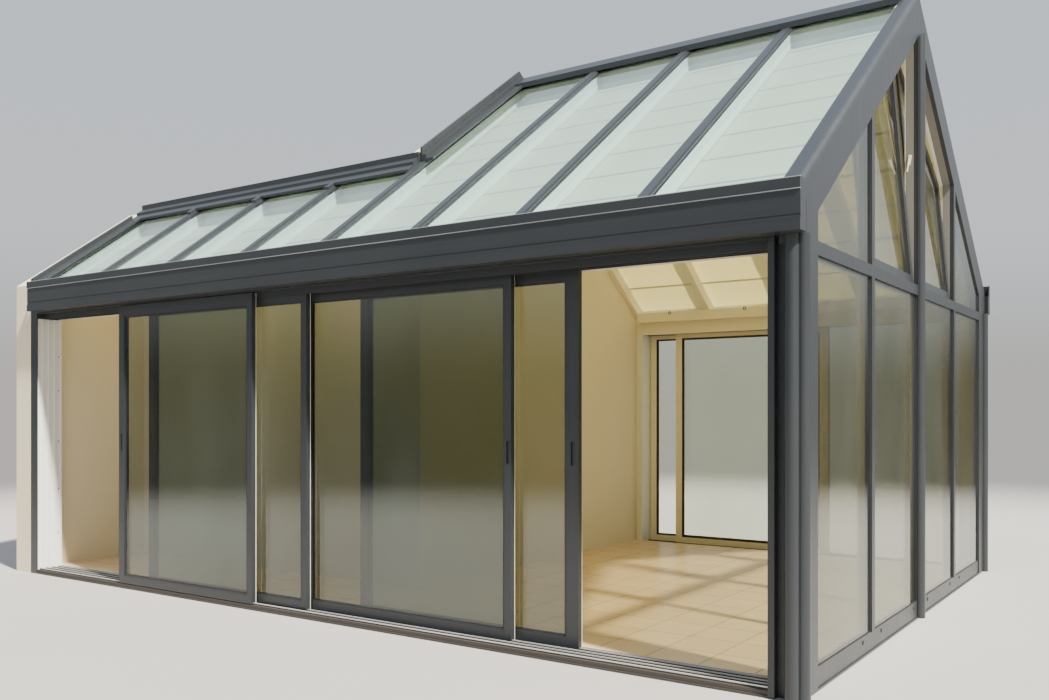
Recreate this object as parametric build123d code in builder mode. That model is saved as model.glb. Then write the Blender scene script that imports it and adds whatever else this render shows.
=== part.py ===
from build123d import *
from math import cos, radians, sin, tan
import os

os.makedirs("parts", exist_ok=True)

# Millimetres, +Z up. The front faces -Y and the glazed gable faces +X. The ridge runs along X
# at Y = 0, and X = 0 is half way between the left party wall's back and the centre mullion's cover.

# Plan
tall_width = 3450
lean_width = 3600
gable_depth = 5000
lean_depth = 1150
wall_thickness = 240
gutter_end = 30
gutter_start = 100

# Heights and roof
floor_top = 52
head_height = 2280
eaves_rise = 310
roof_pitch = 36

# Roof build-up, measured square to the slope, down from its top plane
cap_top = 4
glass_top = 20
roof_glass_thickness = 28
rafter_depth = 200
rafter_width = 50
cap_width = 88
cap_crown = 56
crown_height = 7
web_width = 12
bay_count = 4
rafter_edge = 90
step_edge = 25
lean_lead = 68
left_edge = 95
glass_gap = 4
blind_drop = 97
blind_thickness = 10
blind_side_gap = 0.3
blind_foot = 107
blind_head = 40
upstand_width = 60
glass_overhang = 25
ridge_setback = 12
wall_setback = 10

# Tracks and leaves
track_count = 4
rear_track_count = 2
track_pitch = 56
first_track = 30
frame_depth = 234
rail_width = 6
rail_height = 16
pan_height = 36
head_channel = 45
beam_height = 140
beam_groove_count = 3
beam_groove_pitch = 34
beam_groove_drop = 8
beam_groove_height = 4
beam_groove_depth = 3
leaf_thickness = 42
leaf_overlap = 95
leaf_trim = 62
leaf_clearance = 5
roller_gap = 0.3
bottom_clearance = 6
leaf_shift = 1220
stile_width = 72
interlock_width = 50
closing_width = 86
foot_rail_height = 60
head_rail_height = 82
bead_width = 10
bead_recess = 5
pane_thickness = 24
leaf_pane_thickness = 20
pane_embed = 12
roller_radius = 18
roller_width = 10
roller_inset = 160
grip_height = 1200
grip_length = 150
grip_width = 26
grip_rim = 4
grip_proud = 2.5
grip_depth = 8

# Posts
left_post_width = 100
corner_width = 110
corner_depth = 270
jamb_width = 170
jamb_flange = 35
jamb_recess = 50
cover_radius = 37
cover_offset = 45
cover_inset = 43
corner_notch = 8
rear_post_width = 70
post_channel = 8

# Gable glazing
gable_frame_depth = 90
sill_height = 121
sill_step = 12
transom_drop = 16
transom_height = 71
mullion_width = 62
mullion_spacing = 1185
centre_mullion_width = 90
pane_recess = 14
rake_width = 240
rake_thickness = 110
rake_round = 45

# Vents
vent_tilt = 5
vent_clearance = 6
sash_recess = 30
sash_width = 58
sash_depth = 50
hinge_radius = 9
hinge_length = 60
hinge_inset = 90
hinge_gap = 0.3

# Gutter, ridge and flashings
gutter_depth = 90
gutter_wall = 6
gutter_lift = 58
gutter_rise = 10
gutter_floor_lift = 72
gutter_gap = 12
gutter_lip = 60
lip_proud = 6
moulding_height = 54
moulding_proud = 4
groove_height = 8
groove_lift = 72
groove_depth = 3
ridge_cap_reach = 120
ridge_cap_rise = 32
ridge_cap_sheet = 10
ridge_beam_width = 80
ridge_beam_height = 290
plate_width = 60
plate_height = 300
flashing_reach = 150
flashing_upstand = 72
flashing_thickness = 20
flashing_step = 80
flashing_rise = 34
end_block = 60
verge_thickness = 14
left_verge_width = 160
left_verge_edge = 40
left_verge_rise = 45
step_verge_width = 135
step_ridge_width = 60
step_ridge_rise = 40
step_upstand_width = 20
step_upstand_rise = 88

# Derived planes
half_depth = gable_depth / 2
gable_reach = max(gutter_end, cover_radius)
total_width = wall_thickness + lean_width + tall_width + gable_reach
x_gable = total_width / 2 - gable_reach
x_step = x_gable - tall_width
x_left = x_step - lean_width
y_front = -half_depth
y_rear = half_depth
y_wall = y_front + lean_depth
slope = tan(radians(roof_pitch))
across = cos(radians(roof_pitch))
eaves_height = head_height + eaves_rise
ridge_height = eaves_height + half_depth * slope
glass_bottom = glass_top + roof_glass_thickness
rafter_bottom = glass_bottom + rafter_depth
beam_top = head_height + beam_height
channel_roof = head_height + head_channel
gutter_bottom = head_height + gutter_lift


def roof_z(y, depth=0):
    """Height at y of the plane that lies this deep below the roof's top plane."""
    return ridge_height - abs(y) * slope - depth / across


def strip(y_low, y_high, top, bottom):
    """Side outline of a strip of the roof, with upright ends."""
    return (
        (y_low, roof_z(y_low, top)),
        (y_high, roof_z(y_high, top)),
        (y_high, roof_z(y_high, bottom)),
        (y_low, roof_z(y_low, bottom)),
    )


def finish(piece, name):
    """Label a piece and write it."""
    piece.part.label = name
    export_step(piece.part, f"parts/{name}.step")


def rectangle(x0, x1, y0, y1, mode=Mode.ADD):
    """A sketch rectangle between two corners."""
    with Locations(((x0 + x1) / 2, (y0 + y1) / 2)):
        Rectangle(x1 - x0, y1 - y0, mode=mode)


# Floor slab, L-shaped: it fills what the sills and the walls leave

with BuildPart() as floor:
    with BuildSketch():
        Polygon(
            (x_left, y_front + frame_depth),
            (x_gable - gable_frame_depth, y_front + frame_depth),
            (x_gable - gable_frame_depth, y_rear - frame_depth),
            (x_step, y_rear - frame_depth),
            (x_step, y_wall),
            (x_left, y_wall),
            align=None,
        )
        with Locations((x_gable - corner_width / 2, 0)):
            with GridLocations(0, gable_depth - corner_depth, 1, 2):
                Rectangle(corner_width, corner_depth, mode=Mode.SUBTRACT)
    extrude(amount=floor_top)

# Party walls, cut along the roof

with BuildPart() as left_party_wall:
    with BuildSketch(Plane.YZ.offset(x_left)):
        Polygon(
            (y_front, 0),
            (y_wall + wall_thickness, 0),
            (y_wall + wall_thickness, roof_z(y_wall)),
            (y_wall, roof_z(y_wall)),
            (y_front, roof_z(y_front)),
            align=None,
        )
    extrude(amount=-wall_thickness)

with BuildPart() as lean_party_wall:
    with BuildSketch():
        Polygon(
            (x_left, y_wall),
            (x_step, y_wall),
            (x_step - wall_thickness, y_wall + wall_thickness),
            (x_left, y_wall + wall_thickness),
            align=None,
        )
    extrude(amount=roof_z(y_wall))

with BuildPart() as step_party_wall:
    with BuildSketch(Plane.YZ.offset(x_step)):
        Polygon(
            (y_wall + wall_thickness, 0),
            (y_rear, 0),
            (y_rear, roof_z(y_rear)),
            (0, roof_z(0)),
            (y_wall, roof_z(y_wall)),
            (y_wall + wall_thickness, roof_z(y_wall)),
            align=None,
        )
    extrude(amount=-wall_thickness)
    with BuildSketch():
        Polygon(
            (x_step, y_wall),
            (x_step, y_wall + wall_thickness),
            (x_step - wall_thickness, y_wall + wall_thickness),
            align=None,
        )
    extrude(amount=roof_z(y_wall))

# Sills: a plinth with an upright face, a pan behind it, and one rail for each track


def track_sill(x_low, x_high, tracks):
    """Front threshold between two posts, with a number of rails."""
    with BuildPart() as sill:
        with BuildSketch(Plane.YZ.offset(x_low)):
            rectangle(y_front, y_front + frame_depth, 0, sill_step)
            rectangle(y_front + corner_notch, y_front + frame_depth, 0, pan_height)
            rectangle(y_front + frame_depth - corner_notch, y_front + frame_depth, 0, floor_top)
            for track in range(tracks):
                middle = y_front + first_track + track * track_pitch
                rectangle(
                    middle - rail_width / 2, middle + rail_width / 2, pan_height, pan_height + rail_height
                )
        extrude(amount=x_high - x_low)
    return sill


front_sill = track_sill(x_left + left_post_width, x_gable - jamb_width, track_count)

with BuildPart() as rear_sill:
    mirror(track_sill(x_step + rear_post_width, x_gable - jamb_width, rear_track_count).part, about=Plane.XZ)

# Panes of the gable, as outlines in Y and Z. Each runs into the bars around it.

y_post = half_depth - corner_depth
glass_x = x_gable - pane_recess - pane_thickness
field_edges = (
    (-y_post, -mullion_spacing - mullion_width / 2),
    (-mullion_spacing + mullion_width / 2, -centre_mullion_width / 2),
    (centre_mullion_width / 2, mullion_spacing - mullion_width / 2),
    (mullion_spacing + mullion_width / 2, y_post),
)
transom_bottom = head_height - transom_drop
transom_top = transom_bottom + transom_height


def upper_outline(y_low, y_high, inset):
    """Outline of an upper field between two bars, drawn in by an inset on every side."""
    low = y_low + inset
    high = y_high - inset
    return (
        (low, transom_top + inset),
        (high, transom_top + inset),
        (high, roof_z(high, rake_width + inset)),
        (low, roof_z(low, rake_width + inset)),
    )


with BuildPart() as gable_panes:
    for y_low, y_high in field_edges:
        with BuildSketch(Plane.YZ.offset(glass_x)):
            rectangle(
                y_low - pane_embed, y_high + pane_embed, sill_height - pane_embed, transom_bottom + pane_embed
            )
        extrude(amount=pane_thickness)
    for y_low, y_high in (field_edges[0], field_edges[3]):
        with BuildSketch(Plane.YZ.offset(glass_x)):
            Polygon(*upper_outline(y_low, y_high, -pane_embed), align=None)
        extrude(amount=pane_thickness)

# Gable frame

with BuildPart() as gable_sill:
    with BuildSketch(Plane.XZ.offset(y_post)):
        rectangle(x_gable - gable_frame_depth, x_gable, 0, sill_step)
        rectangle(x_gable - gable_frame_depth, x_gable - corner_notch, 0, sill_height)
    extrude(amount=-2 * y_post)
    with BuildSketch(Plane.YZ.offset(x_gable - gable_frame_depth)):
        rectangle(-centre_mullion_width / 2, centre_mullion_width / 2, 0, sill_height)
    extrude(amount=gable_frame_depth, mode=Mode.SUBTRACT)
    add(gable_panes.part, mode=Mode.SUBTRACT)

with BuildPart() as centre_mullion:
    with BuildSketch():
        rectangle(
            x_gable - gable_frame_depth, x_gable, -centre_mullion_width / 2, centre_mullion_width / 2
        )
        with Locations((x_gable, 0)):
            Circle(cover_radius)
    extrude(amount=roof_z(0, rake_width))
    with BuildSketch(Plane.YZ.offset(x_gable - gable_frame_depth)):
        Polygon(
            (-centre_mullion_width / 2, roof_z(centre_mullion_width / 2, rake_width)),
            (0, roof_z(0, rake_width)),
            (centre_mullion_width / 2, roof_z(centre_mullion_width / 2, rake_width)),
            (centre_mullion_width / 2, ridge_height),
            (-centre_mullion_width / 2, ridge_height),
            align=None,
        )
    extrude(amount=gable_frame_depth + cover_radius, mode=Mode.SUBTRACT)
    add(gable_panes.part, mode=Mode.SUBTRACT)

with BuildPart() as gable_mullions:
    for y in (-mullion_spacing, mullion_spacing):
        y_low, y_high = y - mullion_width / 2, y + mullion_width / 2
        with BuildSketch(Plane.YZ.offset(x_gable - gable_frame_depth)):
            rectangle(y_low, y_high, sill_height, transom_bottom)
            Polygon(*upper_outline(y_low, y_high, 0), align=None)
        extrude(amount=gable_frame_depth)
    add(gable_panes.part, mode=Mode.SUBTRACT)

with BuildPart() as gable_transom:
    for side in (-1, 1):
        inner, outer = side * centre_mullion_width / 2, side * y_post
        with BuildSketch(Plane.YZ.offset(x_gable - gable_frame_depth)):
            rectangle(min(inner, outer), max(inner, outer), transom_bottom, transom_top)
        extrude(amount=gable_frame_depth)
    add(gable_panes.part, mode=Mode.SUBTRACT)

# Roof positions of rafters along X

tall_pitch = (tall_width - rafter_edge - step_edge) / bay_count
lean_pitch = (lean_width + lean_lead - left_edge) / bay_count
x_first = x_gable - rafter_edge
tall_lines = [x_first - i * tall_pitch for i in range(bay_count + 1)]
lean_lines = [tall_lines[-1]] + [x_left + left_edge + i * lean_pitch for i in reversed(range(bay_count))]
y_eaves = y_front + upstand_width
y_ridge = -ridge_beam_width / 2
y_plate = y_wall - plate_width
glass_low = y_front - glass_overhang
glass_high = -ridge_setback
lean_glass_high = y_wall - wall_setback


def rafters(lines, y_high, y_cap):
    """Glazing rafters: a box below the glass, a web between the panes and a cap on top."""
    layers = (
        (rafter_width, glass_bottom, rafter_bottom, y_eaves, y_high),
        (web_width, glass_top, glass_bottom, glass_low, y_cap),
        (cap_width, cap_top + crown_height, glass_top, glass_low, y_cap),
        (cap_crown, cap_top, cap_top + crown_height, glass_low, y_cap),
    )
    with BuildPart() as bars:
        for x in lines:
            for width, top, bottom, low, high in layers:
                with BuildSketch(Plane.YZ.offset(x)):
                    Polygon(*strip(low, high, top, bottom), align=None)
                    rectangle(y_front, y_front + frame_depth, 0, beam_top, Mode.SUBTRACT)
                extrude(amount=width / 2, both=True)
    return bars


tall_rafters = rafters(tall_lines[1:], y_ridge, glass_high)
lean_rafters = rafters(lean_lines[1:], y_plate, lean_glass_high)

with BuildPart() as front_rafters:
    add(tall_rafters.part)
    add(step_party_wall.part, mode=Mode.SUBTRACT)
    add(lean_party_wall.part, mode=Mode.SUBTRACT)

with BuildPart() as rear_rafters:
    mirror(tall_rafters.part, about=Plane.XZ)
    add(step_party_wall.part, mode=Mode.SUBTRACT)

# Roof panes, one to a bay, held between the webs


def roof_panes(lines, y_high):
    """Roof panes between neighbouring rafter lines."""
    with BuildPart() as sheets:
        for right, left in zip(lines, lines[1:]):
            with BuildSketch(Plane.YZ.offset((right + left) / 2)):
                Polygon(*strip(glass_low, y_high, glass_top, glass_bottom), align=None)
            extrude(amount=(right - left) / 2 - web_width / 2 - glass_gap, both=True)
    return sheets


front_glass = roof_panes(tall_lines, glass_high)
lean_glass = roof_panes(lean_lines, lean_glass_high)

with BuildPart() as rear_glass:
    mirror(front_glass.part, about=Plane.XZ)

# Blinds: one closed sheet to a bay, between the rafters

blind_top = glass_bottom + blind_drop
blind_bottom = blind_top + blind_thickness
blind_low = y_eaves + blind_foot


def blinds(lines, y_high, right_edge):
    """Blinds between neighbouring rafters; the first one ends at the gable's rake."""
    with BuildPart() as sheets:
        for index, (right, left) in enumerate(zip(lines, lines[1:])):
            high = right_edge if index == 0 else right - rafter_width / 2
            low = left + rafter_width / 2
            middle = (high + low) / 2
            with BuildSketch(Plane.YZ.offset(middle)):
                Polygon(*strip(blind_low, y_high, blind_top, blind_bottom), align=None)
            extrude(amount=(high - low) / 2 - blind_side_gap, both=True)
    return sheets


front_blinds = blinds(tall_lines, y_ridge - blind_head, x_gable - rake_thickness)
lean_blinds = blinds(lean_lines, y_plate - blind_head, lean_lines[0] - rafter_width / 2)

with BuildPart() as rear_blinds:
    mirror(front_blinds.part, about=Plane.XZ)

# Rakes of the gable: wide sloping members with a rounded outer top edge

with BuildPart() as front_rake:
    with BuildSketch(Plane.YZ.offset(x_gable - rake_thickness)):
        Polygon(*strip(y_front, 0, 0, rake_width), align=None)
    extrude(amount=rake_thickness)
    top_edges = front_rake.edges().filter_by(lambda e: abs(e.length - half_depth / across) < 1)
    fillet(top_edges.group_by(Axis.X)[-1].sort_by(Axis.Z)[-1], rake_round)
    add(front_glass.part, mode=Mode.SUBTRACT)
    add(gable_panes.part, mode=Mode.SUBTRACT)

with BuildPart() as rear_rake:
    mirror(front_rake.part, about=Plane.XZ)

# Eaves beams: a box with an open channel below for each leaf and an upstand that carries the glass

channel_half = leaf_thickness / 2 + leaf_clearance


def eaves_beam(x_low, x_high, channel_low, channel_high, tracks):
    """Front eaves beam between two planes, with its channels between the posts and grooves inside."""
    with BuildPart() as beam:
        with BuildSketch(Plane.YZ.offset(x_low)):
            Polygon(
                (y_front, head_height),
                (y_front + frame_depth, head_height),
                (y_front + frame_depth, beam_top),
                (y_eaves, beam_top),
                (y_eaves, roof_z(y_eaves, glass_bottom)),
                (y_front, roof_z(y_front, glass_bottom)),
                align=None,
            )
        extrude(amount=x_high - x_low)
        with BuildSketch(Plane.YZ.offset(channel_low)):
            rectangle(y_front, y_front + first_track, head_height, channel_roof)
            for track in range(tracks):
                middle = y_front + first_track + track * track_pitch
                rectangle(middle - channel_half, middle + channel_half, head_height, channel_roof)
        extrude(amount=channel_high - channel_low, mode=Mode.SUBTRACT)
        with BuildSketch(Plane.YZ.offset(x_low)):
            for groove in range(beam_groove_count):
                high = beam_top - beam_groove_drop - groove * beam_groove_pitch
                inner_face = y_front + frame_depth
                rectangle(inner_face - beam_groove_depth, inner_face, high - beam_groove_height, high)
        extrude(amount=x_high - x_low, mode=Mode.SUBTRACT)
        with BuildSketch(Plane.YZ.offset(channel_high)):
            rectangle(y_front, y_front + frame_depth, head_height, gutter_bottom)
        extrude(amount=x_high - channel_high, mode=Mode.SUBTRACT)
    return beam


front_beam = eaves_beam(
    x_left, x_gable - corner_width, x_left + left_post_width, x_gable - jamb_width, track_count
)

with BuildPart() as rear_beam:
    rear_ends = (x_step, x_gable - corner_width, x_step + rear_post_width, x_gable - jamb_width)
    mirror(eaves_beam(*rear_ends, rear_track_count).part, about=Plane.XZ)

# Posts

with BuildPart() as left_post:
    with BuildSketch():
        rectangle(x_left, x_left + left_post_width, y_front, y_front + frame_depth)
        for track in range(track_count):
            middle = y_front + first_track + track * track_pitch
            with Locations((x_left + left_post_width - post_channel / 2, middle)):
                Rectangle(post_channel, leaf_thickness, mode=Mode.SUBTRACT)
    extrude(amount=head_height)

with BuildPart() as rear_wall_post:
    with BuildSketch():
        rectangle(x_step, x_step + rear_post_width, y_rear - frame_depth, y_rear)
    extrude(amount=head_height)

with BuildPart() as front_corner_post:
    with BuildSketch():
        rectangle(x_gable - jamb_width, x_gable, y_front + jamb_recess, y_front + frame_depth)
        rectangle(x_gable - corner_width, x_gable, y_front + jamb_recess, y_front + corner_depth)
        rectangle(
            x_gable - jamb_width, x_gable - jamb_width + jamb_flange, y_front, y_front + jamb_recess
        )
        rectangle(
            x_gable - cover_offset - cover_radius, x_gable - corner_notch, y_front, y_front + jamb_recess
        )
        rectangle(
            x_gable - corner_notch, x_gable, y_front + corner_notch, y_front + jamb_recess
        )
        with Locations((x_gable - cover_offset, y_front), (x_gable, y_front + cover_inset)):
            Circle(cover_radius)
    extrude(amount=gutter_bottom)
    with BuildSketch(Plane.YZ.offset(x_gable - corner_width)):
        Polygon(
            (y_front + jamb_recess, head_height),
            (-y_post, head_height),
            (-y_post, roof_z(y_post, rake_width)),
            (y_front + jamb_recess, roof_z(y_front + jamb_recess, rake_width)),
            align=None,
        )
    extrude(amount=corner_width)
    add(front_rake.part, mode=Mode.SUBTRACT)
    add(gable_panes.part, mode=Mode.SUBTRACT)

with BuildPart() as rear_corner_post:
    mirror(front_corner_post.part, about=Plane.XZ)

# Ridge beam and wall plate

with BuildPart() as ridge_beam:
    with BuildSketch(Plane.YZ.offset(x_step)):
        Polygon(
            (-ridge_beam_width / 2, roof_z(ridge_beam_width / 2, glass_bottom)),
            (0, roof_z(0, glass_bottom)),
            (ridge_beam_width / 2, roof_z(ridge_beam_width / 2, glass_bottom)),
            (ridge_beam_width / 2, roof_z(0, glass_bottom) - ridge_beam_height),
            (-ridge_beam_width / 2, roof_z(0, glass_bottom) - ridge_beam_height),
            align=None,
        )
    extrude(amount=x_gable - rake_thickness - x_step)

with BuildPart() as wall_plate:
    with BuildSketch(Plane.YZ.offset(x_left)):
        Polygon(
            (y_plate, roof_z(y_plate, glass_bottom)),
            (y_wall, roof_z(y_wall, glass_bottom)),
            (y_wall, roof_z(y_wall, glass_bottom) - plate_height),
            (y_plate, roof_z(y_wall, glass_bottom) - plate_height),
            align=None,
        )
    extrude(amount=lean_width)

# Ridge cap: a folded sheet that stands on the rafter caps with turned-down edges


def ridge_fold(reach, top, bottom):
    """Outline of a fold over the ridge between two planes of the roof."""
    return (
        (-reach, roof_z(reach, top)),
        (0, roof_z(0, top)),
        (reach, roof_z(reach, top)),
        (reach, roof_z(reach, bottom)),
        (0, roof_z(0, bottom)),
        (-reach, roof_z(reach, bottom)),
    )


with BuildPart() as ridge_cap:
    with BuildSketch(Plane.YZ.offset(x_step + step_ridge_width)):
        inner_top = ridge_cap_sheet - ridge_cap_rise
        Polygon(*ridge_fold(ridge_cap_reach, -ridge_cap_rise, cap_top), align=None)
        Polygon(
            *ridge_fold(ridge_cap_reach - ridge_cap_sheet, inner_top, cap_top), align=None, mode=Mode.SUBTRACT
        )
    extrude(amount=x_gable - rake_thickness - x_step - step_ridge_width)

# Flashings of the lean-to and of the step, each with an upstand against its wall

with BuildPart() as wall_flashing:
    with BuildSketch(Plane.YZ.offset(x_left)):
        Polygon(*strip(y_wall - flashing_reach, y_wall, -verge_thickness, cap_top), align=None)
        Polygon(*strip(y_wall - flashing_step, y_wall, -flashing_rise, cap_top), align=None)
        rectangle(y_wall - flashing_thickness, y_wall, roof_z(y_wall), roof_z(y_wall) + flashing_upstand)
    extrude(amount=lean_width)
    for x in lean_lines[1:-1]:
        with BuildSketch(Plane.YZ.offset(x)):
            low, high = y_wall - flashing_reach - end_block, y_wall - flashing_reach
            Polygon(*strip(low, high, -verge_thickness, cap_top), align=None)
        extrude(amount=cap_crown / 2, both=True)


def verge(x_low, layers):
    """Steps of a verge, each with its width, its lower and upper end and its rise."""
    with BuildPart() as steps:
        for width, low, high, rise in layers:
            with BuildSketch(Plane.YZ.offset(x_low)):
                Polygon(*strip(low, high, -rise, cap_top), align=None)
            extrude(amount=width)
    return steps


y_flashing = y_wall - flashing_reach
left_verge = verge(
    x_left,
    (
        (left_verge_width, y_front, y_flashing, verge_thickness),
        (left_verge_edge, y_front, y_flashing, left_verge_rise),
    ),
)


def step_side(y_low):
    """Verge of the tall roof along the step, on one side of the ridge."""
    return verge(
        x_step,
        (
            (step_verge_width, y_low, -ridge_cap_reach, verge_thickness),
            (step_ridge_width, y_low, 0, step_ridge_rise),
            (step_upstand_width, y_low, 0, step_upstand_rise),
        ),
    )


with BuildPart() as step_verge:
    add(step_side(y_wall).part)
    mirror(step_side(y_front).part, about=Plane.XZ)

# Gutters: an open channel behind a moulded fascia

gutter_floor = gutter_bottom + gutter_floor_lift
gutter_back = roof_z(glass_low, glass_bottom) - gutter_gap
gutter_top = eaves_height + gutter_rise


def gutter(x_low, x_high):
    """Front gutter: an open channel with a tall moulded fascia and two end plates."""
    y_face = y_front - gutter_depth
    with BuildPart() as channel:
        with BuildSketch(Plane.YZ.offset(x_low)):
            rectangle(y_face, glass_low - gutter_gap, gutter_bottom, gutter_top)
            rectangle(y_face - lip_proud, y_face, gutter_top - gutter_lip, gutter_top)
            rectangle(y_face - moulding_proud, y_face, gutter_bottom, gutter_bottom + moulding_height)
            rectangle(y_face, y_front, gutter_bottom, gutter_back)
            groove_low = gutter_bottom + groove_lift
            rectangle(y_face, y_face + groove_depth, groove_low, groove_low + groove_height, Mode.SUBTRACT)
        extrude(amount=x_high - x_low)
        with BuildSketch(Plane.YZ.offset(x_low + gutter_wall)):
            rectangle(y_face + gutter_wall, y_front - gutter_wall, gutter_floor, gutter_top)
        extrude(amount=x_high - x_low - 2 * gutter_wall, mode=Mode.SUBTRACT)
    return channel


front_gutter = gutter(x_left + gutter_start, x_gable + gutter_end)

with BuildPart() as rear_gutter:
    mirror(gutter(x_step, x_gable + gutter_end).part, about=Plane.XZ)

# Vents: bottom-hung sashes that lean in at the top

vent_plane = Plane(
    origin=(x_gable - sash_recess - sash_depth, 0, transom_top + vent_clearance),
    x_dir=(0, 1, 0),
    z_dir=(cos(radians(vent_tilt)), 0, sin(radians(vent_tilt))),
)


def sash_outline(y_low, y_high, inset):
    """Outline of a sash in its own plane, above its hinge line."""
    return [(y, z - transom_top - vent_clearance) for y, z in upper_outline(y_low, y_high, inset)]


with BuildPart() as vent_panes:
    for y_low, y_high in field_edges[1:3]:
        with BuildSketch(vent_plane.offset((sash_depth - pane_thickness) / 2)):
            Polygon(*sash_outline(y_low, y_high, vent_clearance + sash_width - pane_embed), align=None)
        extrude(amount=pane_thickness)

with BuildPart() as vent_sashes:
    for y_low, y_high in field_edges[1:3]:
        with BuildSketch(vent_plane):
            Polygon(*sash_outline(y_low, y_high, vent_clearance), align=None)
            Polygon(*sash_outline(y_low, y_high, vent_clearance + sash_width), align=None, mode=Mode.SUBTRACT)
        extrude(amount=sash_depth)
    add(vent_panes.part, mode=Mode.SUBTRACT)
    for y_low, y_high in field_edges[1:3]:
        for y in (y_low + hinge_inset, y_high - hinge_inset):
            with BuildSketch(Plane.XZ.offset(-y)):
                with Locations((x_gable - sash_recess - sash_depth, transom_top + hinge_gap + hinge_radius)):
                    Circle(hinge_radius)
            extrude(amount=hinge_length / 2, both=True)

# Sliding leaves


def leaf(left, width, track, right_stile, grip):
    """Frame and pane of one leaf on a front track; the caller mirrors it for the rear."""
    y = y_front + first_track + track * track_pitch
    low = pan_height + bottom_clearance
    high = channel_roof - leaf_clearance
    rail_top = pan_height + rail_height
    daylight = (
        left + stile_width + bead_width,
        left + width - right_stile - bead_width,
        low + foot_rail_height + bead_width,
        high - head_rail_height - bead_width,
    )

    def field(inset, mode=Mode.ADD):
        """The daylight opening drawn in by an inset."""
        rectangle(daylight[0] + inset, daylight[1] - inset, daylight[2] + inset, daylight[3] - inset, mode)

    with BuildPart() as pane:
        with BuildSketch(Plane.XZ.offset(-y)):
            field(-pane_embed)
        extrude(amount=leaf_pane_thickness / 2, both=True)
    with BuildPart() as frame:
        with BuildSketch(Plane.XZ.offset(-y)):
            rectangle(left, left + width, low, high)
            field(-bead_width, Mode.SUBTRACT)
        extrude(amount=leaf_thickness / 2, both=True)
        with BuildSketch(Plane.XZ.offset(-y)):
            field(-bead_width)
            field(0, Mode.SUBTRACT)
        extrude(amount=leaf_thickness / 2 - bead_recess, both=True)
        with BuildSketch(Plane.YZ.offset(left)):
            groove = rail_width + 2 * leaf_clearance
            rectangle(y - groove / 2, y + groove / 2, low, rail_top + leaf_clearance)
        extrude(amount=width, mode=Mode.SUBTRACT)
        with BuildSketch(Plane.XZ.offset(-y)):
            for x in (left + roller_inset, left + width - roller_inset):
                with Locations((x, rail_top + roller_gap + roller_radius)):
                    Circle(roller_radius)
        extrude(amount=roller_width / 2, both=True)
        with BuildSketch(Plane.XZ.offset(leaf_thickness / 2 - y)):
            with Locations((left + grip, grip_height)):
                SlotOverall(grip_length, grip_width, rotation=90)
        extrude(amount=grip_proud)
        with BuildSketch(Plane.XZ.offset(leaf_thickness / 2 + grip_proud - y)):
            with Locations((left + grip, grip_height)):
                SlotOverall(grip_length - 2 * grip_rim, grip_width - 2 * grip_rim, rotation=90)
        extrude(amount=-grip_proud - grip_depth, mode=Mode.SUBTRACT)
        add(pane.part, mode=Mode.SUBTRACT)
    return frame, pane


front_low = x_left + left_post_width + leaf_clearance
front_high = x_gable - jamb_width - leaf_clearance
front_share = (front_high - front_low + (track_count - 1) * leaf_overlap) / track_count
front_widths = (
    front_share - 2 * leaf_trim,
    front_share + leaf_trim,
    front_share + leaf_trim,
    front_share,
)
rear_low = x_step + rear_post_width + leaf_clearance
rear_share = (front_high - rear_low + (rear_track_count - 1) * leaf_overlap) / rear_track_count
left_grip = stile_width / 2

closed_left = front_low
for index, (width, shift) in enumerate(zip(front_widths, (leaf_shift, 0, 0, -leaf_shift))):
    right_stile = closing_width if index == track_count - 1 else interlock_width
    grip = left_grip if index < 2 else width - right_stile / 2
    frame, pane = leaf(closed_left + shift, width, index, right_stile, grip)
    finish(frame, f"leaf_{index + 1}_frame")
    finish(pane, f"leaf_{index + 1}_pane")
    closed_left = closed_left + width - leaf_overlap

rear_sides = ((0, interlock_width, left_grip), (-leaf_shift, closing_width, rear_share - closing_width / 2))
for index, (shift, right_stile, grip) in enumerate(rear_sides):
    left = rear_low + index * (rear_share - leaf_overlap) + shift
    pieces = leaf(left, rear_share, index, right_stile, grip)
    for piece, name in zip(pieces, ("frame", "pane")):
        with BuildPart() as turned:
            mirror(piece.part, about=Plane.XZ)
        finish(turned, f"rear_leaf_{index + 1}_{name}")

for piece, name in (
    (floor, "floor"),
    (left_party_wall, "left_party_wall"),
    (lean_party_wall, "lean_party_wall"),
    (step_party_wall, "step_party_wall"),
    (front_sill, "front_sill"),
    (rear_sill, "rear_sill"),
    (gable_sill, "gable_sill"),
    (gable_panes, "gable_panes"),
    (centre_mullion, "centre_mullion"),
    (gable_mullions, "gable_mullions"),
    (gable_transom, "gable_transom"),
    (front_rafters, "front_rafters"),
    (rear_rafters, "rear_rafters"),
    (lean_rafters, "lean_rafters"),
    (front_glass, "front_glass"),
    (rear_glass, "rear_glass"),
    (lean_glass, "lean_glass"),
    (front_blinds, "front_blinds"),
    (rear_blinds, "rear_blinds"),
    (lean_blinds, "lean_blinds"),
    (front_rake, "front_rake"),
    (rear_rake, "rear_rake"),
    (front_beam, "front_beam"),
    (rear_beam, "rear_beam"),
    (left_post, "left_post"),
    (rear_wall_post, "rear_wall_post"),
    (front_corner_post, "front_corner_post"),
    (rear_corner_post, "rear_corner_post"),
    (ridge_beam, "ridge_beam"),
    (wall_plate, "wall_plate"),
    (ridge_cap, "ridge_cap"),
    (wall_flashing, "wall_flashing"),
    (left_verge, "left_verge"),
    (step_verge, "step_verge"),
    (front_gutter, "front_gutter"),
    (rear_gutter, "rear_gutter"),
    (vent_panes, "vent_panes"),
    (vent_sashes, "vent_sashes"),
):
    finish(piece, name)
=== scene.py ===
from math import atan2, cos, pi, radians, sin, tan

import bmesh
import bpy
from mathutils import Matrix, Vector


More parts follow.
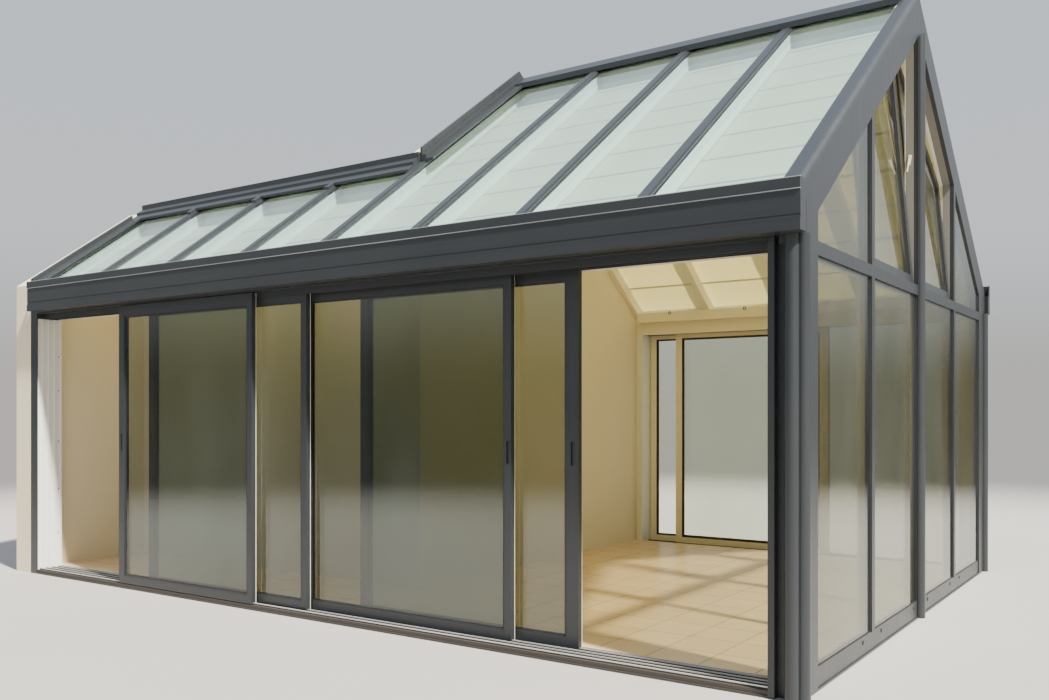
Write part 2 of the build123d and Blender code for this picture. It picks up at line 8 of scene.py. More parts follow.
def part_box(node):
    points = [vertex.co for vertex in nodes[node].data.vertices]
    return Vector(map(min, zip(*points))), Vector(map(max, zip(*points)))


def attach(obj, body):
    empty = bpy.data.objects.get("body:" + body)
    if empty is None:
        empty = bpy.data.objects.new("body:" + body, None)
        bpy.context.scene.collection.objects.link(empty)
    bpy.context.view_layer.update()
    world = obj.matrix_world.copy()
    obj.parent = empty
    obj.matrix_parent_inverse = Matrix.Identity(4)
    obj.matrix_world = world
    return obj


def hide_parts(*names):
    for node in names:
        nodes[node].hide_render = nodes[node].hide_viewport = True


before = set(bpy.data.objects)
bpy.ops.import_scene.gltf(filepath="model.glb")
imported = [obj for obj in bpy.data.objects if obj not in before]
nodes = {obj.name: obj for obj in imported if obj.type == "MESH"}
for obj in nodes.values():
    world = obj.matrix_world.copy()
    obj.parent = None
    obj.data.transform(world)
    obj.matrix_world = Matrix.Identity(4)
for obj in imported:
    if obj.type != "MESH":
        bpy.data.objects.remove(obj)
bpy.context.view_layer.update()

# The building's own planes, in metres: read from the nodes where a node gives them

x_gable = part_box("gable_mullions")[1].x
x_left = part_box("wall_plate")[0].x
y_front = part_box("left_post")[0].y
head_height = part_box("left_post")[1].z
ridge_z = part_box("front_rake")[1].z
transom_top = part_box("gable_transom")[1].z
gutter_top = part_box("front_gutter")[1].z
gutter_back = -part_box("front_gutter")[1].y

# Depths and heights inside the nodes, as the solids have them

pitch = radians(36)
beam_height = 0.140
beam_top = head_height + beam_height
first_track = 0.030
track_pitch = 0.056
inner_leaf_plane = 0.205
upstand_plane = 0.055
upper_pane_face = 0.030
lower_pane_step = 0.010
gable_inner_plane = 0.086
glass_outer_depth = 0.049
leaf_inner_share = 0.80
vent_tilt = radians(5)
sash_reveal = 0.012
sash_inner_plane = 0.042
jamb_reveal = 0.012
rail_top = 0.0455
gutter_lip = 0.060
gutter_lip_half = 0.0022
gutter_rim = 0.004
gutter_outer_reach = 0.085
gutter_joint_start = 0.002
gutter_joint_depth = 0.007
cover_joint_back = 0.007
cover_joint_half = 0.006
blind_depth = 0.150

# Camera at the photograph's view

camera = bpy.data.objects.new("camera", bpy.data.cameras.new("camera"))
camera.location = (5.2695, -7.308, 1.45)
camera.rotation_euler = (radians(90), 0, radians(34.49))
camera.data.sensor_width = 36
camera.data.lens = 33.883
camera.data.shift_y = 0.0587
camera.data.clip_end = 300
bpy.context.collection.objects.link(camera)
bpy.context.scene.camera = camera


# Shader building

class Value:
    """A shader socket; arithmetic on it adds Math nodes."""

    def __init__(self, finish, socket):
        self.finish = finish
        self.socket = socket

    def math(self, operation, *others):
        return self.finish.math(operation, self, *others)

    def __add__(self, other):
        return self.math("ADD", other)

    def __sub__(self, other):
        return self.math("SUBTRACT", other)

    def __rsub__(self, other):
        return self.finish.math("SUBTRACT", other, self)

    def __mul__(self, other):
        return self.math("MULTIPLY", other)

    def __truediv__(self, other):
        return self.math("DIVIDE", other)

    def __pow__(self, other):
        return self.math("POWER", other)

    def __gt__(self, other):
        return self.math("GREATER_THAN", other)

    def __lt__(self, other):
        return self.math("LESS_THAN", other)

    __radd__ = __add__
    __rmul__ = __mul__


class Finish:
    """A material while it is being made."""

    def __init__(self, name, kept_in=bpy.data.materials, place="Object"):
        self.material = kept_in.new(name)
        self.material.use_nodes = True
        self.tree = self.material.node_tree
        self.tree.nodes.clear()
        self.place = self.node("ShaderNodeTexCoord", output=place)
        self.x, self.y, self.z = (
            self.node("ShaderNodeSeparateXYZ", inputs={0: self.place}, output=i) for i in range(3)
        )

    def node(self, kind, settings=None, inputs=None, output=0):
        """Add a node: its settings first, then the values or links of its sockets."""
        made = self.tree.nodes.new(kind)
        for name, value in (settings or {}).items():
            setattr(made, name, value)
        for name, value in (inputs or {}).items():
            if isinstance(value, Value):
                self.tree.links.new(value.socket, made.inputs[name])
            else:
                made.inputs[name].default_value = value
        return Value(self, made.outputs[output])

    def math(self, operation, *values):
        return self.node("ShaderNodeMath", {"operation": operation}, dict(enumerate(values)))

    def noise(self, scale, detail, roughness=0.55, place=None):
        return self.node("ShaderNodeTexNoise", {}, {
            "Vector": place or self.place, "Scale": scale, "Detail": detail, "Roughness": roughness
        })

    def stretched(self, x, y, z):
        """The object's coordinates with each axis scaled by its own factor."""
        return self.node("ShaderNodeMapping", {}, {"Vector": self.place, "Scale": (x, y, z)})

    def mix(self, factor, first, second):
        """Mix two colours, each a socket or three numbers."""
        first, second = (c if isinstance(c, Value) else (*c, 1) for c in (first, second))
        inputs = {0: factor, 6: first, 7: second}
        return self.node("ShaderNodeMix", {"data_type": "RGBA"}, inputs, output=2)

    def rise(self, value, low, high):
        """From 0 at the low value to 1 at the high one, with soft ends."""
        settings = {"interpolation_type": "SMOOTHSTEP"}
        inputs = {"Value": value, "From Min": low, "From Max": high}
        return self.node("ShaderNodeMapRange", settings, inputs)

    def bump(self, height, strength, distance):
        inputs = {"Height": height, "Strength": strength, "Distance": distance}
        return self.node("ShaderNodeBump", {}, inputs)

    def principled(self, **inputs):
        names = {name.replace("_", " "): value for name, value in inputs.items()}
        return self.node("ShaderNodeBsdfPrincipled", {}, names)

    def mixed(self, factor, first, second):
        return self.node("ShaderNodeMixShader", {}, {0: factor, 1: first, 2: second})

    def done(self, shader, kind="ShaderNodeOutputMaterial"):
        end = self.tree.nodes.new(kind)
        self.tree.links.new(shader.socket, end.inputs["Surface"])
        return self.material


# Directions of the grain, and the paints' darkest and lightest tones

upright = (26, 26, 0.8)
lengthwise = (0.8, 26, 40)
slate = ((0.017, 0.020, 0.022), (0.033, 0.037, 0.040))
# Dark brown for the sill's outer face: painted shade over the face and between the rails
shaded_brown = ((0.030, 0.026, 0.022), (0.062, 0.052, 0.042))
cream = ((0.76, 0.70, 0.54), (0.85, 0.80, 0.66))
white = ((0.74, 0.74, 0.70), (0.82, 0.82, 0.79))


def painted(
    name, inside, bare=None, painted_highlight=None, joint=None, painted_sunlight=None,
    outer=slate, light=cream, grain_along=upright
):
    """Powder-coated frames: dark outside and light where inside() says so.

    Masks may add bare aluminium, a lighter tone along edges that paints a highlight, black joints
    and a whiter part that paints sunlight.
    """
    finish = Finish(name)
    cloud = finish.noise(1.3, 3)
    streak = finish.noise(1.0, 4, place=finish.stretched(*grain_along))
    grain = finish.noise(900, 2)
    tone = cloud * 0.55 + streak * 0.45
    room = finish.mix(tone, *light)
    # A whiter tone inside the mask: painted sunlight
    if painted_sunlight:
        room = finish.mix(painted_sunlight(finish), room, finish.mix(tone, *white))
    colour = finish.mix(inside(finish), finish.mix(tone, *outer), room)
    rough = 0.24 + cloud * 0.10 + streak * 0.14 + grain * 0.05
    metal = 0.0
    if painted_highlight:
        # A lighter tone along these edges: a painted highlight
        colour = finish.mix(painted_highlight(finish) * (0.35 + streak), colour, (0.36, 0.39, 0.39))
    if joint:
        gap = joint(finish)
        colour = finish.mix(gap, colour, (0.006, 0.006, 0.007))
        rough = rough + gap * 0.3
    if bare:
        metal_shown = bare(finish)
        scuffs = finish.noise(5.0, 5, place=finish.stretched(0.6, 14, 14))
        aluminium = finish.mix(scuffs, (0.52, 0.51, 0.48), (0.80, 0.79, 0.76))
        colour = finish.mix(metal_shown, colour, aluminium)
        rough = rough + (1 - metal_shown) * 0.25
        metal = metal_shown * 0.35
    normal = finish.bump(grain + streak * 0.5, 0.12, 0.0004)
    return finish.done(finish.principled(
        Base_Color=colour, Roughness=rough, Metallic=metal, Normal=normal
    ))


# Share of the outer tone mixed into the cream reveals above the transom and on the vents' sashes:
# painted shade in these deep reveals
reveal_shade = 0.78


def inward(finish):
    """Distance in from the front's or the rear's outer plane."""
    return -y_front - finish.y.math("ABSOLUTE")


def below_roof(finish):
    """Depth below the roof's top plane, square to the slope."""
    return (ridge_z - finish.y.math("ABSOLUTE") * tan(pitch) - finish.z) * cos(pitch)


def room_side(finish):
    """What faces the room: behind the tracks and the gable's glass, and below the roof's glass."""
    upstand = (finish.z > beam_top - 0.002) * (inward(finish) > upstand_plane)
    behind = (inward(finish) > inner_leaf_plane).math("MAXIMUM", upstand)
    from_gable = x_gable - finish.x
    upper = finish.z > transom_top
    pane_face = upper_pane_face + (1 - upper) * lower_pane_step
    # Above the transom the reveals take mostly the outer tone: painted shade in the deep reveals
    reveal = (from_gable > pane_face) * (1 - upper * reveal_shade)
    gable = reveal.math("MAXIMUM", from_gable > gable_inner_plane)
    return behind * gable * (below_roof(finish) > glass_outer_depth)


def jamb_inside(finish):
    """A jamb's reveal, from just behind its outer face."""
    return inward(finish) > jamb_reveal


def leaf_inside(finish):
    """The inner face of the leaf on each track."""
    return ((inward(finish) - first_track) / track_pitch + 0.5).math("FRACT") > leaf_inner_share


def sash_inside(finish):
    """The inner face of a vent's sash, which leans in from its foot."""
    across = (x_gable - upper_pane_face - finish.x) * cos(vent_tilt)
    inwards = across + (transom_top - finish.z) * sin(vent_tilt)
    # The sash's reveal takes mostly the outer tone: painted shade in the deep reveal
    reveal = (inwards > sash_reveal) * (1 - reveal_shade)
    return reveal + (inwards > sash_inner_plane) * reveal_shade


def rails(finish):
    """The rubbed bare tops of the rails, and the threshold's inner edge."""
    return finish.z > rail_top


def above_blinds(finish):
    """What lies between the glass and the blinds, where the rafters' sides are painted whiter as
    painted sunlight.
    """
    return below_roof(finish) < blind_depth


def nowhere(finish):
    return 0.0


def everywhere(finish):
    return 1.0


def gutter_edges(finish):
    """The rim of the gutter and the edge of its lip, on the outer face: a painted highlight."""
    lip = (finish.z - (gutter_top - gutter_lip)).math("ABSOLUTE") < gutter_lip_half
    rim = finish.z > gutter_top - gutter_rim
    return lip.math("MAXIMUM", rim) * (finish.y.math("ABSOLUTE") > -y_front + gutter_outer_reach)


def end_joint(finish):
    """The joint behind the gutter's end by the gable."""
    past_gable = finish.x > x_gable + gutter_joint_start
    return past_gable * (finish.y.math("ABSOLUTE") < gutter_back + gutter_joint_depth)


def cover_joint(finish):
    """The joint between the centre mullion and its half-round cover."""
    return (finish.x - (x_gable - cover_joint_back)).math("ABSOLUTE") < cover_joint_half


frame_paint = painted("frame_paint", room_side)
beam_paint = painted("beam_paint", room_side, grain_along=lengthwise)
gutter_paint = painted(
    "gutter_paint", nowhere, painted_highlight=gutter_edges, joint=end_joint, grain_along=lengthwise
)
leaf_paint = painted("leaf_paint", leaf_inside)
jamb_paint = painted("jamb_paint", jamb_inside, light=white)
sash_paint = painted("sash_paint", sash_inside)
mullion_paint = painted("mullion_paint", room_side, joint=cover_joint)
# The sill's dark brown outer tone is painted shade; its rail tops are bare aluminium
sill_paint = painted("sill_paint", nowhere, bare=rails, outer=shaded_brown, grain_along=lengthwise)
cream_frame = painted("cream_frame", everywhere)
# Rafters white above the blinds and cream below: painted sunlight above, painted shade below, on
# one paint
rafter_paint = painted("rafter_paint", room_side, painted_sunlight=above_blinds)


def glass(name, tint, first_reflection):
    """Clear glazing: a faint tint, reflections that rise at a low angle, and a trace of dust."""
    finish = Finish(name)
    facing = finish.node("ShaderNodeLayerWeight", {}, {"Blend": 0.5}, output="Facing")
    reflect = first_reflection + (1 - first_reflection) * facing ** 4.5
    through = finish.node("ShaderNodeBsdfTransparent", {}, {"Color": (*tint, 1)})
    gloss = finish.node("ShaderNodeBsdfGlossy", {}, {
        "Roughness": 0.0, "Color": (0.95, 0.98, 0.97, 1)
    })
    film = finish.noise(2.2, 5, place=finish.stretched(1, 1, 0.35))
    dust = finish.node("ShaderNodeBsdfDiffuse", {}, {"Color": (0.75, 0.76, 0.72, 1)})
    clean = finish.mixed(reflect, through, gloss)
    return finish.done(finish.mixed(film * film * 0.05, clean, dust))


# The leaf and gable panes' tints are partly the glass's own and partly painted shade of the room
# behind them
leaf_glass = glass("leaf_glass", (0.65, 0.69, 0.67), 0.07)
wall_glass = glass("wall_glass", (0.55, 0.56, 0.46), 0.05)
rear_glass = glass("rear_glass", (0.92, 0.94, 0.90), 0.04)
roof_glass = glass("roof_glass", (0.90, 1.0, 0.985), 0.05)


def plaster():
    """Fine painted plaster."""
    finish = Finish("plaster")
    cloud = finish.noise(0.9, 5)
    grain = finish.noise(140, 6, 0.7)
    colour = finish.mix(cloud, (0.74, 0.64, 0.44), (0.82, 0.73, 0.54))
    normal = finish.bump(grain, 0.35, 0.0015)
    rough = 0.85 - grain * 0.1
    return finish.done(finish.principled(Base_Color=colour, Roughness=rough, Normal=normal))


def tile():
    """Square polished tiles with narrow joints."""
    finish = Finish("tile")
    size = 0.33
    joint = 0.012
    joint_x, joint_y = (
        ((axis / size).math("FRACT") - 0.5).math("ABSOLUTE") > 0.5 - joint
        for axis in (finish.x, finish.y)
    )
    grout = joint_x.math("MAXIMUM", joint_y)
    veins = finish.noise(3.5, 7, 0.62)
    scaled = finish.node("ShaderNodeVectorMath", {"operation": "SCALE"}, {
        0: finish.place, "Scale": 1 / size
    })
    cell = finish.node("ShaderNodeVectorMath", {"operation": "FLOOR"}, {0: scaled})
    tone = finish.node("ShaderNodeTexWhiteNoise", {"noise_dimensions": "2D"}, {"Vector": cell})
    base = finish.mix(veins * 0.75 + tone * 0.25, (0.66, 0.45, 0.26), (0.90, 0.69, 0.44))
    colour = finish.mix(grout, base, (0.42, 0.33, 0.23))
    normal = finish.bump(1 - grout, 0.5, 0.001)
    rough = 0.24 + veins * 0.12 + grout * 0.4
    return finish.done(finish.principled(Base_Color=colour, Roughness=rough, Normal=normal))


fold = 0.385
seam_width = 0.012
hem_width = 0.012
thread_turns = 2400


def cloth():
    """Blind fabric: a fine weave, with a doubled seam at each batten and a hem down each side; the
    seams' dark blue-grey is painted shadow of the battens, and the hems are drawn darker too.
    """
    finish = Finish("blind_fabric")
    flat = finish.node("ShaderNodeUVMap", {"uv_map": "flat"})
    across, along = (
        finish.node("ShaderNodeSeparateXYZ", inputs={0: flat}, output=i) for i in range(2)
    )
    threads = (across * thread_turns).math("SINE") * (along * thread_turns).math("SINE")
    cloud = finish.noise(1.6, 4)
    seam = ((along / fold + 0.5).math("FRACT") - 0.5).math("ABSOLUTE") < seam_width / fold
    from_side = finish.node("ShaderNodeUVMap", {"uv_map": "from_side"})
    hem = finish.node("ShaderNodeSeparateXYZ", inputs={0: from_side}) < hem_width
    colour = finish.mix(cloud, (0.80, 0.86, 0.83), (0.88, 0.94, 0.91))
    # Seams and hems in dark blue-grey: at the seams this paints the battens' shadow; the doubled
    # cloth letting less light through is real
    sewn_and_shaded = (seam * (along > 0.5 * fold)).math("MAXIMUM", hem * 0.6)
    colour = finish.mix(sewn_and_shaded, colour, (0.26, 0.30, 0.32))
    normal = finish.bump(threads, 0.25, 0.0004)
    body = finish.principled(Base_Color=colour, Roughness=0.85 + threads * 0.05, Normal=normal)
    glow = finish.node("ShaderNodeBsdfTranslucent", {}, {"Color": (1.0, 0.82, 0.48, 1)})
    return finish.done(finish.mixed(0.60 - seam * 0.35, body, glow))


def rubber_seal():
    """Matt black rubber."""
    finish = Finish("black_rubber")
    grain = finish.noise(700, 3)
    colour = finish.mix(finish.noise(6, 3), (0.008, 0.008, 0.009), (0.018, 0.018, 0.019))
    normal = finish.bump(grain, 0.2, 0.0003)
    rough = 0.5 + grain * 0.15
    return finish.done(finish.principled(Base_Color=colour, Roughness=rough, Normal=normal))


plaster_finish = plaster()
tile_finish = tile()
blind_fabric = cloth()
black_rubber = rubber_seal()
blind_bar = painted("blind_bar", everywhere, grain_along=lengthwise)

finishes = {
    node: finish
    for finish, named in (
        (tile_finish, ("floor",)),
        (plaster_finish, ("left_party_wall", "lean_party_wall", "step_party_wall")),
        (wall_glass, ("gable_panes", "vent_panes")),
        (roof_glass, ("front_glass", "rear_glass", "lean_glass")),
        (blind_fabric, ("front_blinds", "rear_blinds", "lean_blinds")),
        (cream_frame, ("ridge_beam", "wall_plate")),
        (rafter_paint, ("front_rafters", "rear_rafters", "lean_rafters")),
        (jamb_paint, ("left_post", "rear_wall_post")),
        (sash_paint, ("vent_sashes",)),
        (sill_paint, ("front_sill", "rear_sill")),
        (beam_paint, ("front_beam", "rear_beam")),
        (gutter_paint, ("front_gutter", "rear_gutter")),
        (mullion_paint, ("centre_mullion",)),
    )
    for node in named
}

for name, node in nodes.items():
    finish = finishes.get(name, frame_paint)
    if name.endswith("_pane"):
        finish = rear_glass if name.startswith("rear") else leaf_glass
    if "leaf" in name and name.endswith("_frame"):
        finish = leaf_paint
    for slot in node.material_slots:
        slot.material = finish

# Making pieces


def piece(shape, name, finish, body="building"):
    """Turn a bmesh into a named piece that rides on a body."""
    bmesh.ops.recalc_face_normals(shape, faces=shape.faces)
    mesh = bpy.data.meshes.new(name)
    shape.to_mesh(mesh)
    shape.free()
    mesh.materials.append(finish)
    made = bpy.data.objects.new(name, mesh)
    bpy.context.collection.objects.link(made)
    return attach(made, body)


def unique(items):
    """Each item once, in the order they come."""
    return list(dict.fromkeys(items))


def joined(verts):
    """These vertices and all that hang together with them, in the order they are reached."""
    reached = unique(verts)
    known = set(reached)
    for vert in reached:
        near = [edge.other_vert(vert) for edge in vert.link_edges]
        reached.extend(other for other in near if other not in known)
        known.update(near)
    return reached


def block(shape, low, high, round_by=0.0, place=Matrix()):
    """Add a box between two corners, with its edges rounded."""
    low, high = Vector(low), Vector(high)
    sized = Matrix.Translation((low + high) / 2) @ Matrix.Diagonal((*(high - low), 1))
    verts = bmesh.ops.create_cube(shape, size=1, matrix=sized)["verts"]
    if round_by:
        edges = unique(edge for vert in verts for edge in vert.link_edges)
        rounded = bmesh.ops.bevel(
            shape, geom=edges, offset=round_by, affect="EDGES", segments=2, profile=0.5, material=-1
        )
        kept = [vert for vert in verts if vert.is_valid]
        verts = unique(kept + [vert for face in rounded["faces"] for vert in face.verts])
    bmesh.ops.transform(shape, matrix=place, verts=verts)


def looking(outwards, centre):
    """The place of what is made round the Z axis: its centre, and the way that the axis points."""
    turn = Vector(outwards).to_track_quat("Z", "Y").to_matrix().to_4x4()
    return Matrix.Translation(centre) @ turn


def turned(shape, geometry, steps):
    """Spin an outline once round the Z axis."""
    return bmesh.ops.spin(
        shape, geom=geometry, axis=(0, 0, 1), cent=(0, 0, 0), angle=2 * pi, steps=steps,
        use_merge=True
    )


def button(shape, centre, outwards, radius, height):
    """Add a low round cap whose axis points outwards."""
    profile = ((0, height), (radius * 0.7, height), (radius, height * 0.55), (radius, 0), (0, 0))
    verts = [shape.verts.new((across, 0, along)) for across, along in profile]
    edges = [shape.edges.new(pair) for pair in zip(verts, verts[1:])]
    spun = turned(shape, verts + edges, 18)
    last = [item for item in spun["geom_last"] if isinstance(item, bmesh.types.BMVert)]
    whole = joined(verts + last)
    bmesh.ops.transform(shape, matrix=looking(outwards, centre), verts=whole)
    bmesh.ops.remove_doubles(shape, verts=whole, dist=0.00001)


def solids(node):
    """The separate solids of a node, as lists of points, in order along X, then Y, then Z."""
    shape = bmesh.new()
    shape.from_mesh(nodes[node].data)
    bmesh.ops.remove_doubles(shape, verts=shape.verts, dist=0.00005)
    known = set()
    found = []
    for vert in shape.verts:
        if vert not in known:
            whole = joined([vert])
            known.update(whole)
            found.append([each.co.copy() for each in whole])
    shape.free()
    return sorted(
        found, key=lambda points: [round(min(p[axis] for p in points), 3) for axis in range(3)]
    )


def outline(points, normal):
    """The face of a prism that looks along the normal, as its corners in order."""
    normal = Vector(normal).normalized()
    reach = max(p.dot(normal) for p in points)
    face = [p for p in points if p.dot(normal) > reach - 0.0005]
    middle = sum(face, Vector()) / len(face)
    side = normal.orthogonal().normalized()
    other = normal.cross(side)
    return sorted(face, key=lambda p: atan2((p - middle).dot(other), (p - middle).dot(side)))


def rubber(shape, corners, normal, covered, width, height):
    """Add a rubber strip round a pane, inside the edge that its frame covers."""
    face = shape.faces.new([shape.verts.new(corner) for corner in corners])
    face.normal_update()
    hidden, strip = (
        bmesh.ops.inset_region(
            shape, faces=[face], thickness=step, use_boundary=True, use_even_offset=True
        )["faces"]
        for step in (covered, width)
    )
    bmesh.ops.delete(shape, geom=hidden + [face], context="FACES")
    raised = bmesh.ops.extrude_face_region(shape, geom=strip, use_keep_orig=True)["geom"]
    lifted = [item for item in raised if isinstance(item, bmesh.types.BMVert)]
    bmesh.ops.translate(shape, vec=Vector(normal).normalized() * height, verts=lifted)


# Sun blinds under the roof panes

bar_width = 0.022
bar_ends = 0.003
head_bar_width = 0.030
bar_below = 0.0045
bar_above = 0.0028
bar_round = 0.002
batten_width = 0.009
batten_ends = 0.003
batten_below = 0.0005
batten_round = 0.0008
cloth_side_gap = 0.001
cloth_end_gap = 0.004
cloth_rise = 0.0035
cloth_sag = 0.0055
cloth_ripple = 0.0008
cloth_thickness = 0.0007
cloth_columns = 10
rows_to_fold = 10


def roof_place(side):
    """From the roof's axes (along the ridge, up the slope to it, outwards) to the building's."""
    return Matrix((
        (1, 0, 0, 0),
        (0, -side * cos(pitch), side * sin(pitch), 0),
        (0, sin(pitch), cos(pitch), ridge_z),
        (0, 0, 0, 1),
    ))


def up_slope(distance, depth):
    """Place up the slope of a point this far from the ridge's plane and this deep in the roof."""
    return -(distance + sin(pitch) * depth) / cos(pitch)


def blinds(node, side):
    """The blinds that stand for a node, one to each of its solids."""
    place = roof_place(side)
    parts = bmesh.new()
    for index, points in enumerate(solids(node)):
        left = min(p.x for p in points) + cloth_side_gap
        right = max(p.x for p in points) - cloth_side_gap
        foot = up_slope(max(abs(p.y) for p in points), blind_depth) + cloth_end_gap
        head = up_slope(min(abs(p.y) for p in points), blind_depth) - cloth_end_gap
        rows = round((head - foot) / fold * rows_to_fold)
        cloth = bmesh.new()
        bmesh.ops.create_grid(
            cloth, x_segments=cloth_columns, y_segments=rows, size=0.5,
            matrix=Matrix.Translation(((left + right) / 2, (foot + head) / 2, 0))
            @ Matrix.Diagonal((right - left, head - foot, 1, 1)), calc_uvs=False
        )
        flat = cloth.loops.layers.uv.new("flat")
        from_side = cloth.loops.layers.uv.new("from_side")
        for face in cloth.faces:
            for loop in face.loops:
                loop[flat].uv = (loop.vert.co.x - left, loop.vert.co.y - foot)
                loop[from_side].uv = (min(loop.vert.co.x - left, right - loop.vert.co.x), 0)
        for vert in cloth.verts:
            along = (vert.co.y - foot) / fold
            across = (vert.co.x - left) / (right - left)
            edge = (2 * abs(across - 0.5)) ** 3
            between = sin(pi * along) ** 2
            sag = cloth_sag * between * (1 - 0.35 * edge)
            ripple = cloth_ripple * sin(7.3 * across + 2.1 * along + index) * between
            vert.co.z = -blind_depth + cloth_rise - sag + ripple
        bmesh.ops.transform(cloth, matrix=place, verts=cloth.verts)
        sheet = piece(cloth, f"{node}_cloth_{index + 1}", blind_fabric)
        thick = sheet.modifiers.new("thickness", "SOLIDIFY")
        thick.thickness = cloth_thickness
        thick.offset = 0
        head - foot
        upper = -blind_depth + bar_above
        lower = -blind_depth - bar_below
        for batten in range(1, int((head - foot) / fold) + 1):
            middle = foot + batten * fold
            block(
                parts, (left + batten_ends, middle - batten_width / 2, -blind_depth - batten_below),
                (right - batten_ends, middle + batten_width / 2, upper), batten_round, place
            )
        for start, end in (
            (foot - bar_ends, foot + bar_width), (head - head_bar_width, head + bar_ends)
        ):
            block(parts, (left, start, lower), (right, end, upper), bar_round, place)
    rails = piece(parts, f"{node}_rails", blind_bar)
    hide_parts(node)


blinds("front_blinds", -1)
blinds("rear_blinds", 1)
blinds("lean_blinds", -1)

# Cornices below the feet of the blinds, with a small ring to each blind

cornice_face = 2.178
cornice_low = beam_top - 0.014
cornice_high = beam_top + 0.088
cornice_wall = 0.012
cornice_plate = 0.008
cornice_round = 0.003
plate_round = 0.002
wall_gap = 0.002
cornice_right = x_gable - 0.112
beam_inner_plane = 0.200
guide_radius = 0.014
guide_thickness = 0.0035
guide_in = 0.003
guide_drop = 0.012
half_rafter = 0.026
edge_line = x_gable - 0.09


def ring(shape, centre, outwards, radius, thickness):
    """Add a round ring whose axis points outwards."""
    made = bmesh.ops.create_circle(shape, cap_ends=False, radius=thickness, segments=8)["verts"]
    stand = Matrix.Translation((radius, 0, 0)) @ Matrix.Rotation(pi / 2, 4, "X")
    bmesh.ops.transform(shape, matrix=stand, verts=made)
    edges = unique(edge for vert in made for edge in vert.link_edges)
    before = set(shape.verts) - set(made)
    turned(shape, made + edges, 20)
    whole = [vert for vert in shape.verts if vert not in before]
    bmesh.ops.transform(shape, matrix=looking(outwards, centre), verts=whole)


def cornice(name, side, low, high, lines):
    """A cream angle along the eaves beam's inner top edge."""
    shape = bmesh.new()
    inner, outer = side * cornice_face, side * (cornice_face + cornice_wall)
    beam_face = side * (-y_front - beam_inner_plane)
    near, far = sorted((inner, outer))
    block(shape, (low, near, cornice_low), (high, far, cornice_high), cornice_round)
    near, far = sorted((outer, beam_face))
    plate_top = cornice_low + cornice_plate
    block(shape, (low, near, cornice_low), (high, far, plate_top), plate_round)
    made = piece(shape, name, blind_bar)
    guides = bmesh.new()
    for left, right in zip(lines, lines[1:]):
        centre = ((left + right) / 2, inner - side * guide_in, cornice_high - guide_drop)
        ring(guides, centre, (0, -side, 0), guide_radius, guide_thickness)
    piece(guides, f"{name}_guides", black_rubber)


def rafter_lines(node):
    """Middle lines of a node's rafters along X."""
    found = [(min(p.x for p in points), max(p.x for p in points)) for points in solids(node)]
    return sorted({round((low + high) / 2, 3) for low, high in found})


tall_lines = rafter_lines("rear_rafters") + [edge_line]
lean_lines = rafter_lines("lean_rafters")
cornice("rear_cornice", 1, tall_lines[0] + half_rafter, cornice_right, tall_lines)
cornice("front_cornice", -1, x_left + wall_gap, cornice_right, lean_lines + tall_lines)

# Rubber seals round the panes

pane_cover = 0.012
seal_width = 0.006
seal_height = 0.003


def seals(name, panes, body="building"):
    """Seals on both faces of some panes; each pane comes with the way that its outer face looks."""
    shape = bmesh.new()
    for points, normal in panes:
        for side in (1, -1):
            facing = Vector(normal) * side
            rubber(shape, outline(points, facing), facing, pane_cover, seal_width, seal_height)
    piece(shape, name, black_rubber, body)


for name in nodes:
    if "leaf" in name and name.endswith("_pane"):
        leaf = name.removesuffix("_pane")
        seals(f"{leaf}_seals", [(solids(name)[0], (0, 1, 0))], leaf)

seals("gable_seals", [(points, (1, 0, 0)) for points in solids("gable_panes")])
vent_normal = (cos(vent_tilt), 0, sin(vent_tilt))
seals("vent_seals", [(points, vent_normal) for points in solids("vent_panes")])

# Small fittings

drain_places = (-2.30, -1.38, -0.98, -0.15, 0.27, 1.05, 1.41, 2.33)
drain_height = 0.087
drain_face = x_gable - 0.008
drain_radius = 0.014
drain_depth = 0.004
screw_heights = (0.35, 0.75, 1.18, 1.64, 1.95)
screw_line = y_front + 0.202
screw_radius = 0.006
screw_depth = 0.0015
lever_x = x_gable - 0.060
lever_height = 3.22
lever_aside = 0.047
lever_tilt = radians(10)
lever_plate = Vector((0.011, 0.004, 0.035))
lever_round = 0.003


def drain_caps():
    """Round covers over the drain holes in the gable's sill."""
    shape = bmesh.new()
    for y in drain_places:
        button(shape, (drain_face, y, drain_height), (1, 0, 0), drain_radius, drain_depth)
    piece(shape, "drain_caps", black_rubber)


def jamb_screws():
    """Screws down the inner side of the left jamb."""
    shape = bmesh.new()
    inner_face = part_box("left_post")[1].x
    for z in screw_heights:
        button(shape, (inner_face, screw_line, z), (1, 0, 0), screw_radius, screw_depth)
    piece(shape, "jamb_screws", black_rubber)


def vent_levers():
    """A small lever on the inner edge of each vent's frame."""
    shape = bmesh.new()
    for side in (-1, 1):
        place = Matrix.Translation((lever_x, side * lever_aside, lever_height))
        place = place @ Matrix.Rotation(lever_tilt, 4, "Y")
        block(shape, -lever_plate, lever_plate, lever_round, place)
        block(
            shape, (-0.006, side * 0.003, -0.085), (0.006, side * 0.011, 0.004), lever_round, place
        )
    piece(shape, "vent_levers", blind_bar)


drain_caps()
jamb_screws()
vent_levers()

# Floor and light

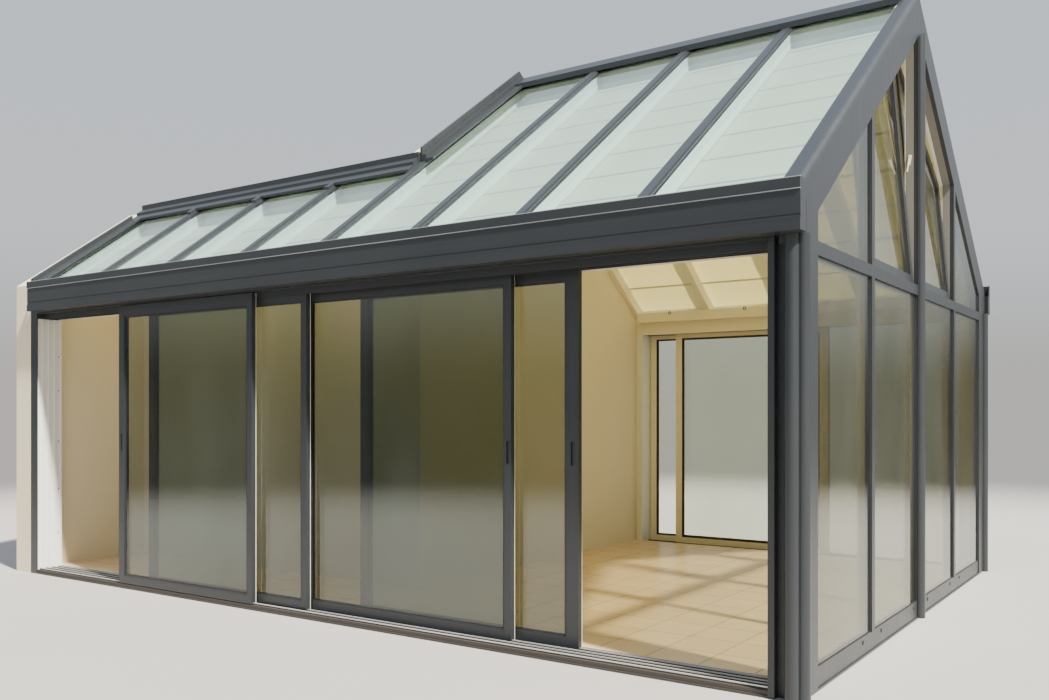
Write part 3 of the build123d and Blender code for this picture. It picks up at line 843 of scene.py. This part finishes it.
floor_shown = 7.0
floor_gone = 16.0
sun_from = (0.72, -0.17, 1.0)


def studio():
    """A pale floor that fades out, and the sun."""
    ground = bmesh.new()
    bmesh.ops.create_grid(ground, x_segments=1, y_segments=1, size=60)
    mesh = bpy.data.meshes.new("studio_floor")
    ground.to_mesh(mesh)
    ground.free()
    floor = bpy.data.objects.new("studio_floor", mesh)
    bpy.context.collection.objects.link(floor)
    finish = Finish("studio_floor")
    soft = finish.noise(0.4, 3)
    colour = finish.mix(soft, (0.38, 0.36, 0.33), (0.42, 0.40, 0.37))
    away = (finish.x * finish.x + finish.y * finish.y).math("SQRT")
    pale = finish.principled(Base_Color=colour, Roughness=0.9)
    clear = finish.node("ShaderNodeBsdfTransparent")
    faded = finish.rise(away, floor_shown, floor_gone)
    mesh.materials.append(finish.done(finish.mixed(faded, pale, clear)))
    sun = bpy.data.objects.new("sun", bpy.data.lights.new("sun", "SUN"))
    sun.data.energy = 14.5
    sun.data.angle = radians(3)
    sun.data.color = (1.0, 0.95, 0.87)
    sun.rotation_euler = Vector(sun_from).to_track_quat("Z", "Y").to_euler()
    bpy.context.collection.objects.link(sun)
    bpy.context.scene.world = sky()


def sky():
    """A pale room with a bright ceiling, and two soft dark screens for the glass to mirror."""
    finish = Finish("studio_sky", bpy.data.worlds, "Generated")
    front_screen = finish.rise(finish.x * -0.50 - finish.y * 0.86, 0.55, 0.85)
    side_screen = finish.rise(finish.x * 0.42 + finish.y * 0.91, 0.84, 0.97)
    seen = finish.node("ShaderNodeLightPath", output="Is Camera Ray")
    screens = front_screen.math("MAXIMUM", side_screen) * (1 - seen)
    low = finish.mix(screens, (0.66, 0.65, 0.62), (0.085, 0.085, 0.065))
    high = finish.mix(finish.rise(finish.z, 0.15, 0.9), (0.86, 0.91, 0.96), (0.72, 0.88, 1.15))
    colour = finish.mix(finish.rise(finish.z, 0.02, 0.18), low, high)
    light = finish.node("ShaderNodeBackground", {}, {"Color": colour, "Strength": 0.85})
    return finish.done(light, "ShaderNodeOutputWorld")


studio()
